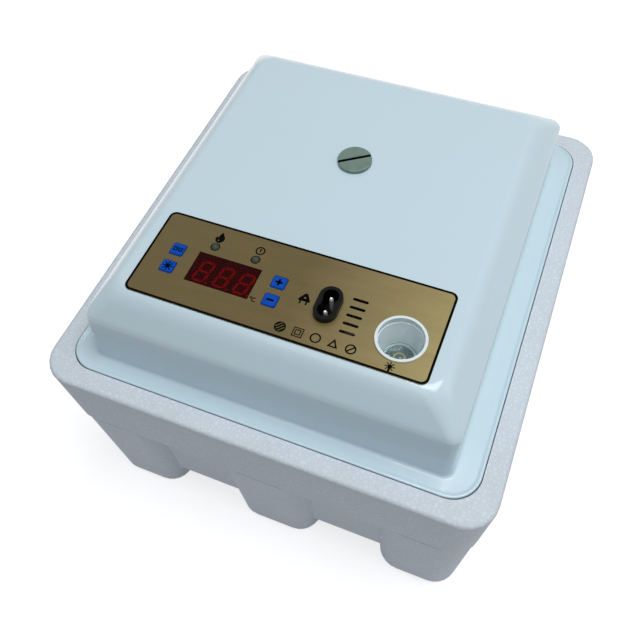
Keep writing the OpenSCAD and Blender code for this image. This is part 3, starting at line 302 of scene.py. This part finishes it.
fuse_skin = surface("fuse_body", (186, 150, 92), 0.45, spread=0.1, scale=500)
core_steel = laminated("core_sheets", (70, 76, 80), 0.8 * MM)
part_blue = surface("part_sleeves", (28, 40, 92), 0.35, spread=0.15, scale=420,
                    bump=0.03 * MM)
# gold film with a painted reflection, darker at the left and lighter at the right
gold = film_with_painted_reflection("gold_film", (98, 83, 44), (151, 137, 89), 0.005, 0.085)
ink = surface("black_ink", (4, 4, 3), 0.7, spread=0.2, scale=600, ior=1.1)
glyph_ink = surface("glyph_ink", (2, 8, 34), 0.7, spread=0.2, scale=600, ior=1.1)
digit_red = glowing("digit_red", (226, 30, 26), 1.7)
phosphor = surface("phosphor", (214, 196, 92), 0.4, spread=0.2, scale=900, bump=0.03 * MM)

looks = {
    "foam_base": white_foam, "water_tray": tray_blue, "egg_rack": rack_grey,
    "rack_bars": rack_grey, "lid_cover": lid_white, "inner_panel": inner_white,
    "lid_insulation": foam("white_foam_slab", (232, 230, 220), 4 * MM, 0.3 * MM),
    "cover_screws": steel, "control_faceplate": gold, "display_window": window_red,
    "display_module": black_matte, "control_board": board_green,
    "control_board_screws": steel, "tact_switches": black_matte,
    "indicator_lamps": lamp_grey, "buzzer": black_matte, "button_set": button_blue,
    "button_lamp": button_blue, "button_plus": button_blue, "button_minus": button_blue,
    "power_inlet": black_gloss, "inlet_pins": bright, "candling_cup": cup_white,
    "candling_lens": lens_clear, "candling_led": led_board, "vent_tube": inner_white,
    "vent_plug": plug_metal, "fan_frame": black_matte,
    "fan_rotor": surface("rotor_plastic", (34, 36, 38), 0.42, spread=0.15, bump=0.04 * MM),
    "fan_guard": black_matte, "fan_screws": steel, "heater_ring": heater_skin,
    "heater_clips": steel, "thermal_fuse": fuse_skin, "temperature_probe": steel,
    "power_board": board_olive, "transformer": core_steel, "power_parts": part_blue,
    "power_board_screws": steel, "ribbon_cable": wire("ribbon_grey", (178, 180, 184)),
    "mains_leads": wire("lead_brown", (104, 62, 34)),
    "heater_leads": wire("lead_red", (168, 52, 44)),
    "probe_lead": wire("lead_black", (28, 28, 30)),
    "candling_lead": wire("lead_dark", (40, 40, 44)),
    "fan_lead": wire("fan_lead_red", (150, 36, 34)),
}
for name, obj in nodes.items():
    shade(obj)
    obj.data.materials.clear()
    obj.data.materials.append(looks[name])


# ---------- outlines in mm, and pieces made from them ----------

def circle(cx, cy, r, n=36, start=0, end=360):
    """Points on a circle, or on an arc with both its ends."""
    count = n if end - start == 360 else n + 1
    turns = [math.radians(start + (end - start) * i / n) for i in range(count)]
    return [(cx + r * math.cos(a), cy + r * math.sin(a)) for a in turns]


def rect(cx, cy, w, h, turn=0):
    c, s = math.cos(math.radians(turn)), math.sin(math.radians(turn))
    return [(cx + x * c - y * s, cy + x * s + y * c)
            for x, y in ((-w / 2, -h / 2), (w / 2, -h / 2), (w / 2, h / 2), (-w / 2, h / 2))]


def round_rect(cx, cy, w, h, r, n=6):
    out = []
    for a, sx, sy in ((0, 1, 1), (90, -1, 1), (180, -1, -1), (270, 1, -1)):
        out += circle(cx + sx * (w / 2 - r), cy + sy * (h / 2 - r), r, n, a, a + 90)
    return out


def filled(name, loops, z, thick):
    """Mesh from closed outlines in the XY plane; an outline inside another is a hole."""
    curve = bpy.data.curves.new(name, "CURVE")
    curve.dimensions = "2D"
    curve.fill_mode = "BOTH"
    curve.extrude = thick / 2 * MM
    for loop in loops:
        spline = curve.splines.new("POLY")
        spline.points.add(len(loop) - 1)
        for p, (x, y) in zip(spline.points, loop):
            p.co = (x * MM, y * MM, 0, 1)
        spline.use_cyclic_u = True
    temp = bpy.data.objects.new(name, curve)
    bpy.context.scene.collection.objects.link(temp)
    temp.location.z = (z + thick / 2) * MM
    bpy.context.view_layer.update()
    graph = bpy.context.evaluated_depsgraph_get()
    mesh = bpy.data.meshes.new_from_object(temp.evaluated_get(graph))
    mesh.transform(temp.matrix_world)
    bpy.data.objects.remove(temp)
    mesh.name = name
    return mesh


def place(name, mesh, mat, body):
    obj = bpy.data.objects.new(name, mesh)
    bpy.context.scene.collection.objects.link(obj)
    obj.data.materials.clear()
    obj.data.materials.append(mat)
    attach(obj, body)
    return obj


def piece(name, loops, z, thick, mat, body):
    return place(name, filled(name, loops, z, thick), mat, body)


def middle(node):
    """Centre, size and top of a CAD node at rest, in mm."""
    lo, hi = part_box(node)
    centre = [(a + b) / 2 / MM for a, b in zip(lo, hi)]
    return centre, [(b - a) / MM for a, b in zip(lo, hi)], hi[2] / MM


# ---------- the formed lid, with a crisper crease and a softer bead than its CAD solid ----------

# A section is [half width, depth to the front, depth to the back, corner radius, z] in mm.
# Insets are (sides, front, back).
LID_RISE = 53.3                 # rim to flat top
WALL_RISE = 35                  # rim to crease
SHEET = 2.2                     # thickness of the sheet
FLANGE_CORNER = 17
WALL_IN, WALL_CORNER = (15.1, 10.6, 10.6), 5        # flange's edge to the wall's foot
CREASE_IN, CREASE_CORNER = (0.1, 3.4, 5.6), 6.5     # lean of the wall
TOP_IN, TOP_CORNER = (13.7, 12, 21.8), 13           # reach of the slopes
BEAD = ((0, 0.0), (0.12, 0.42), (0.45, 0.72), (0.95, 0.8), (1.5, 0.72), (2.0, 0.44),
        (2.5, 0.14), (3.2, 0))  # inset and height of the flange's bead
FOOT_ROUND = 2.2                # fillet between flange and wall
CREASE_ROUND = (0.07, 0.14)     # shares of the wall and of the slope in the crease's round
TOP_ROUND = (0.42, 4.8)         # share of the slope, and mm of the flat, in the top's round
PANEL_LAP = 3                   # width of the panel's seat round its opening
VENT_HOLE = 7.2                 # radius


def ring(x, front, back, r, z, steps=10):
    """Points of one section, round its four corners."""
    out = []
    for c, (sx, sy) in enumerate(((1, 1), (-1, 1), (-1, -1), (1, -1))):
        cy = back - r if sy > 0 else r - front
        for i in range(steps + 1):
            a = math.radians(90 * (c + i / steps))
            out.append((sx * (x - r) + r * math.cos(a), cy + r * math.sin(a), z))
    return out


def drawn_in(section, inset, corner, z):
    return [s - d for s, d in zip(section, inset)] + [corner, z]


def grown(section, d, z):
    return [s + d for s in section[:4]] + [z]


def between(a, b, t):
    return [p * (1 - t) + q * t for p, q in zip(a, b)]


def bend(a, b, c, steps):
    """Sections on a curve from a to c that b pulls on."""
    shares = [i / steps for i in range(steps + 1)]
    return [between(between(a, b, t), between(b, c, t), t) for t in shares]


def lid_sections(width, depth, skirt_z, top_z):
    """Sections from the skirt's lower edge up to the flat top."""
    rim_z = top_z - LID_RISE
    flange = [width / 2, depth / 2, depth / 2, FLANGE_CORNER, rim_z]
    foot = drawn_in(flange, WALL_IN, WALL_CORNER, rim_z)
    crease = drawn_in(foot, CREASE_IN, CREASE_CORNER, rim_z + WALL_RISE)
    top = drawn_in(crease, TOP_IN, TOP_CORNER, top_z)
    out = [grown(flange, 0, skirt_z)]
    out += [grown(flange, -d, rim_z + z) for d, z in BEAD]
    for a in (math.radians(18 * i) for i in range(6)):
        out.append(grown(foot, FOOT_ROUND * (1 - math.sin(a)),
                         rim_z + FOOT_ROUND * (1 - math.cos(a))))
    out += bend(between(crease, foot, CREASE_ROUND[0]), crease,
                between(crease, top, CREASE_ROUND[1]), 5)
    out += bend(between(top, crease, TOP_ROUND[0]), top, grown(top, -TOP_ROUND[1], top_z), 8)
    return out


(panel_x, panel_y, _), (panel_w, panel_d, _), panel_top = middle("control_faceplate")
(vent_x, vent_y, _), _, _ = middle("vent_plug")
_, (lid_w, lid_d, _), lid_top = middle("lid_cover")
sections = lid_sections(lid_w, lid_d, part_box("lid_cover")[0][2] / MM, lid_top)
bm = bmesh.new()
rows = [[bm.verts.new([v * MM for v in p]) for p in ring(*s)] for s in sections]
for low, high in zip(rows, rows[1:]):
    for i in range(len(low)):
        j = (i + 1) % len(low)
        bm.faces.new((low[i], low[j], high[j], high[i]))
flat = [[p[:2] for p in ring(*sections[-1])],
        round_rect(panel_x, panel_y, panel_w - 2 * PANEL_LAP, panel_d - 2 * PANEL_LAP, 3),
        circle(vent_x, vent_y, VENT_HOLE)]
bm.from_mesh(filled("lid_flat", flat, lid_top, 0))
bmesh.ops.remove_doubles(bm, verts=bm.verts, dist=2e-6)
bmesh.ops.recalc_face_normals(bm, faces=bm.faces)
if max(bm.faces, key=lambda f: f.calc_center_median().z).normal.z < 0:
    bmesh.ops.reverse_faces(bm, faces=bm.faces)
lid_mesh = bpy.data.meshes.new("lid_shell")
bm.to_mesh(lid_mesh)
bm.free()
lid_shell = place("lid_shell", lid_mesh, lid_white, "lid")
sheet = lid_shell.modifiers.new("sheet", "SOLIDIFY")
sheet.thickness = SHEET * MM
sheet.offset = -1
shade(lid_shell)
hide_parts("lid_cover")


# ---------- marks printed on the panel ----------

# Places are mm from the lid's middle in X and from the panel's middle in Y.
INK = 0.03                      # thickness of a printed mark
MARK_GAP = 0.004                # between the panel and a mark
BORDER = (0.05, 1.35)           # outer and inner edge of the border, from the panel's edge
LAMPS = ((-49.3, 13), (-24.8, 12.5))
FLAME_AT = ((1.25, -49.3, 19.6), (0.2, -49.8, 17.9))    # scale and place: flame, hole in it
FLAME = ((0, 3.3), (0.9, 1.9), (2.0, 0.6), (2.1, -1.0), (1.2, -2.4), (0, -2.9), (-1.3, -2.4),
         (-2.1, -1.0), (-1.8, 0.4), (-1.0, 0.1), (-0.8, 1.7))
CLOCK = (-24.7, 18.9)
UNIT_RING, UNIT_C = (-16.9, -10.6), (-14.8, -11.6)
PLUG = (9.9, -1.7)
SIGN_ROW = -22
DISC_X, SQUARES_X, RING_X, TRIANGLE_X, BARRED_X = 4.6, 14.4, 24, 33.6, 42.8
SIGN_R, SIGN_HOLE = 2.9, 2.1
CANDLING = (63.9, -24.4)


def mark(name, *loops, lift=0.0, mat=ink):
    """Thin piece on the panel, from outlines about the panel's middle line."""
    moved = [[(x, y + panel_y) for x, y in loop] for loop in loops]
    return piece(name, moved, panel_top + MARK_GAP + lift, INK, mat, "lid")


def sun(cx, cy, size):
    """A disc with eight short rays."""
    loops = [circle(cx, cy, size * 0.5, 24)]
    for k in range(8):
        a = math.radians(45 * k)
        loops.append(rect(cx + size * 0.8 * math.cos(a), cy + size * 0.8 * math.sin(a),
                          size * 0.5, size * 0.24, 45 * k))
    return loops


mark("plate_border", *[round_rect(panel_x, 0, panel_w - 2 * d, panel_d - 2 * d, r)
                       for d, r in zip(BORDER, (3.9, 2.9))])

for i, at in enumerate(LAMPS):
    mark("lamp_ring_%d" % i, circle(*at, 2.72), circle(*at, 2.45))
mark("mark_flame", *[[(cx + k * x, cy + k * y) for x, y in FLAME] for k, cx, cy in FLAME_AT])
mark("mark_clock", circle(*CLOCK, 2.75), circle(*CLOCK, 2.0))
mark("mark_clock_hand", rect(CLOCK[0], CLOCK[1] + 0.4, 0.8, 2.4))

# unit beside the display: a ring and a C
mark("mark_unit", circle(*UNIT_RING, 0.75), circle(*UNIT_RING, 0.35))
mark("mark_unit_c", circle(*UNIT_C, 1.4, 20, 45, 315) + circle(*UNIT_C, 0.85, 20, 45, 315)[::-1])

# mains plug beside the inlet: a dome on a foot, with a round hole and two pins
x, y = PLUG
dome = circle(x, y + 1.9, 1.3, 10, 30, 150)
foot = [(x - 3.3, y - 1.0), (x - 3.0, y - 1.8), (x + 3.0, y - 1.8), (x + 3.3, y - 1.0)]
mark("mark_plug", dome + foot, circle(x, y + 0.4, 0.55, 12))
for s in (-1, 1):
    mark("mark_plug_pin_%d" % (s > 0), rect(x + s * 1.7, y - 2.7, 0.9, 2.0))

# row of plain signs under the inlet
mark("sign_disc", circle(DISC_X, SIGN_ROW, 3.1))
for k in (-1, 0, 1):
    long = 1.6 * math.sqrt(SIGN_R ** 2 - (1.5 * k) ** 2)
    mark("sign_stripe_%d" % (k + 1), rect(DISC_X + 1.06 * k, SIGN_ROW - 1.06 * k, long, 0.42, 45),
         lift=INK, mat=gold)
for i, w in enumerate((5.6, 3.2)):
    mark("sign_square_%d" % i, rect(SQUARES_X, SIGN_ROW, w, w),
         rect(SQUARES_X, SIGN_ROW, w - 1.1, w - 1.1))
mark("sign_ring", circle(RING_X, SIGN_ROW, SIGN_R), circle(RING_X, SIGN_ROW, SIGN_HOLE))
mark("sign_triangle", *[[(TRIANGLE_X, SIGN_ROW + up), (TRIANGLE_X - half, SIGN_ROW - down),
                         (TRIANGLE_X + half, SIGN_ROW - down)]
                        for up, half, down in ((3, 2.8, 2.2), (1.2, 1.4, 1.4))])
mark("sign_ring_bar", circle(BARRED_X, SIGN_ROW, SIGN_R), circle(BARRED_X, SIGN_ROW, SIGN_HOLE))
mark("sign_bar", rect(BARRED_X, SIGN_ROW, 4.4, 0.8, 45))

mark("mark_candling", *sun(*CANDLING, 2.5))
mark("mark_candling_stem", rect(CANDLING[0], CANDLING[1] - 1.6, 1.1, 2.2))


# ---------- glyphs on the four caps ----------

def glyph(name, loops, cap, body):
    return piece(name, loops, middle(cap)[2] + 0.003, INK, glyph_ink, body)


(x, y, _), _, _ = middle("button_set")
for s in (-1, 1):
    square = [rect(x + s * 1.5, y, w, h) for w, h in ((2.4, 2.7), (1.1, 1.4))]
    glyph("glyph_set_%d" % (s > 0), square, "button_set", "set_button")
(x, y, _), _, _ = middle("button_lamp")
glyph("glyph_lamp", sun(x, y, 2.9), "button_lamp", "lamp_button")
(x, y, _), _, _ = middle("button_plus")
glyph("glyph_plus", [rect(x, y, 4.2, 1.25)], "button_plus", "plus_button")
glyph("glyph_plus_bar", [rect(x, y, 1.25, 4.2)], "button_plus", "plus_button")
(x, y, _), _, _ = middle("button_minus")
glyph("glyph_minus", [rect(x, y, 4.2, 1.25)], "button_minus", "minus_button")


# ---------- three slanted seven-segment digits behind the window ----------

SLANT = math.tan(math.radians(8))
SEGMENT = 1.4                   # width of a segment
COLUMN, ROW = 3.25, 6.35        # middle of a digit to its upright bars, and between its level bars
PITCH = 12.1                    # between digits
NICK = 0.5                      # a bar is shorter than its place by this
POINT_R = 0.6

(window_x, window_y, _), _, _ = middle("display_window")
_, _, module_top = middle("display_module")
segments = []
for k in (-1, 0, 1):
    cx = window_x + k * PITCH
    bars = [(0, n * ROW, 2 * COLUMN - NICK, False) for n in (-1, 0, 1)]
    bars += [(sx * COLUMN, sy * ROW / 2, ROW - NICK, True) for sx in (-1, 1) for sy in (-1, 1)]
    for dx, dy, long, upright in bars:
        e, w = long / 2, SEGMENT / 2
        points = [(-e, 0), (w - e, -w), (e - w, -w), (e, 0), (e - w, w), (w - e, w)]
        if upright:
            points = [(-y, x) for x, y in points]
        segments.append([(cx + dx + x + SLANT * (dy + y), window_y + dy + y) for x, y in points])
    segments.append(circle(cx + 4.375, window_y - ROW, POINT_R, 16))
piece("display_digits", segments, module_top - 0.36, 0.34, digit_red, "lid")


# ---------- phosphor ring and solder pads on the candling lamp's board ----------

BOARD = 1.6                     # thickness of the lamp's board
LED_RISE = 0.61                 # board to phosphor

(x, y, _), _, _ = middle("candling_led")
board_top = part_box("candling_led")[0][2] / MM + BOARD
piece("led_phosphor", [circle(x, y, 3.1, 24), circle(x, y, 2.3, 24)], board_top + LED_RISE, 0.05,
      phosphor, "lid")
for s in (-1, 1):
    piece("led_pad_%d" % (s > 0), [round_rect(x + s * 5.4, y, 1.8, 1.4, 0.3, 3)],
          board_top + 0.01, 0.08, bright, "lid")


# ---------- stage: pale floor, soft light, camera ----------

LAMP_SIDE = 0.8
LAMPS_AIM = Vector((0, 0, 0.15))
FLOOR_HALF = 4
FLOOR_LIFT = 0.7                # added to the lit floor where it is seen, so that it is white
SKY_LIGHT = (0.19, 0.2, 0.222, 1)
WHITE = (1, 1, 1, 1)


def area(name, place, watts, tint=(1, 1, 1)):
    """Square soft lamp that points at the object."""
    light = bpy.data.lights.new(name, "AREA")
    light.shape = "RECTANGLE"
    light.size = light.size_y = LAMP_SIDE
    light.energy = watts
    light.color = tint
    obj = bpy.data.objects.new(name, light)
    obj.location = place
    obj.rotation_euler = (LAMPS_AIM - Vector(place)).to_track_quat("-Z", "Y").to_euler()
    bpy.context.scene.collection.objects.link(obj)


area("soft_top", (0.34, 0.0, 1.55), 12.0, (0.98, 0.99, 1.0))
area("soft_front", (-0.05, -0.8, 1.4), 1.7)
area("soft_right", (1.3, 0.3, 1.1), 1.5)


def seen(tree):
    """1 for rays by which a surface is seen: straight, in a gloss or through glass."""
    path = add(tree, "ShaderNodeLightPath").outputs
    glossy = calc(tree, "ADD", path["Is Camera Ray"], path["Is Glossy Ray"], use_clamp=True)
    return calc(tree, "ADD", glossy, path["Is Transmission Ray"], use_clamp=True)


mesh = bpy.data.meshes.new("floor")
bm = bmesh.new()
bmesh.ops.create_grid(bm, x_segments=2, y_segments=2, size=FLOOR_HALF)
bm.to_mesh(mesh)
bm.free()
floor = bpy.data.objects.new("floor", mesh)
pale = surface("floor_pale", (200, 200, 202), 0.8, spread=0.01, scale=2)
tree, inputs = shader(pale)
inputs["Emission Color"].default_value = WHITE
put(tree, inputs["Emission Strength"], calc(tree, "MULTIPLY", seen(tree), FLOOR_LIFT))
floor.data.materials.append(pale)
bpy.context.scene.collection.objects.link(floor)

world = bpy.data.worlds.new("studio")
bpy.context.scene.world = world
world.use_nodes = True
tree = world.node_tree
sky = tree.nodes["Background"].inputs
sky["Strength"].default_value = 1
put(tree, sky["Color"], blend(tree, seen(tree), SKY_LIGHT, WHITE))

# the photo's camera, calibrated on straight edges of the object
PHOTO_SIDE = 640                # pixels
PHOTO_FOCUS = 710.286           # pixels
CAMERA_AT = (0.1058, -0.2649, 0.5129)
TURN, DIP, ROLL = 0.442, 0.998, -0.073      # about Z, down, and about the view, radians

forward = Vector((-math.sin(TURN) * math.cos(DIP), math.cos(TURN) * math.cos(DIP), -math.sin(DIP)))
right = Vector((math.cos(TURN), math.sin(TURN), 0))
up = right.cross(forward)
across = right * math.cos(ROLL) + up * math.sin(ROLL)
upward = up * math.cos(ROLL) - right * math.sin(ROLL)
lens = bpy.data.cameras.new("photo_camera")
lens.sensor_width = 36
lens.lens = PHOTO_FOCUS / PHOTO_SIDE * lens.sensor_width
camera = bpy.data.objects.new("photo_camera", lens)
axes = Matrix((across, upward, -forward)).transposed().to_4x4()
camera.matrix_world = Matrix.Translation(CAMERA_AT) @ axes
bpy.context.scene.collection.objects.link(camera)
bpy.context.scene.camera = camera
bpy.context.scene.view_settings.view_transform = "Standard"
